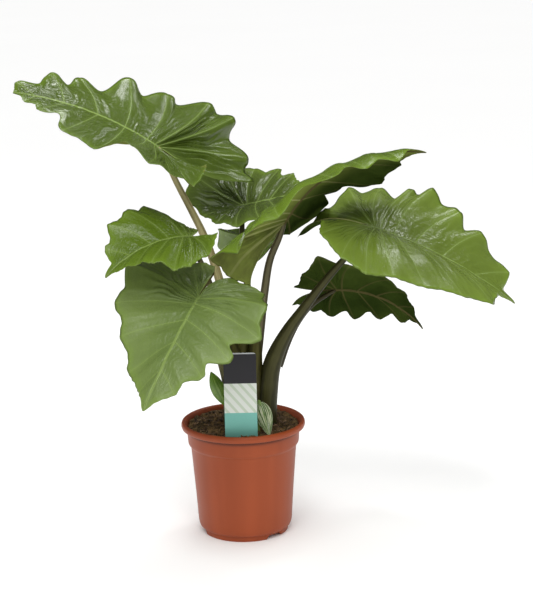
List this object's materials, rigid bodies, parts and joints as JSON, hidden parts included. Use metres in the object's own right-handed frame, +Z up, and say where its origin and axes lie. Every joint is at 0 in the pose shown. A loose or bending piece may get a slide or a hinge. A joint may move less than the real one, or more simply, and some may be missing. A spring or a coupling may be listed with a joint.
{
  "type": "potted alocasia",
  "caption": "Potted alocasia: large arrow-shaped leaves on long arching stalks, growing from a peat-filled terracotta-coloured nursery pot with a plain card label.",
  "frame": {"origin": "centre of the pot's underside, on the surface that it stands on", "axes": "+Z up through the pot, +X to the right and -Y towards the viewer of the plant's front"},
  "size_m": [0.8176, 0.4704, 0.7782],
  "materials": {
    "leaf": "glossy waxy leaf, mid green with yellow-green ribs, paler and greyish on the front leaf",
    "stalk": "satin olive-brown stalk with fine lengthwise streaks",
    "crown_sheath": "satin olive-brown sheaths with pale papery margins",
    "offset_leaf": "glossy dark green young leaf",
    "variegated_leaf": "glossy green young leaf streaked with cream",
    "label_card": "printed plastic card in bands of charcoal, pale grey and teal",
    "peat": "dark brown fibrous peat with lighter chips",
    "pot_plastic": "satin terracotta-orange moulded plastic"
  },
  "bodies": {
    "root": {"blade_top_left": "leaf", "blade_mid_left": "leaf", "blade_front_left": "leaf", "blade_back": "leaf", "blade_centre": "leaf", "blade_right": "leaf", "blade_lower_right": "leaf", "petiole_top_left": "stalk", "petiole_mid_left": "stalk", "petiole_front_left": "stalk", "petiole_back": "stalk", "petiole_centre": "stalk", "petiole_right": "stalk", "petiole_lower_right": "stalk", "crown": "crown_sheath", "offset_leaf_left": "offset_leaf", "offset_leaf_right": "variegated_leaf", "plant_label": "label_card", "soil": "peat", "pot": "pot_plastic"}
  },
  "joints": []
}
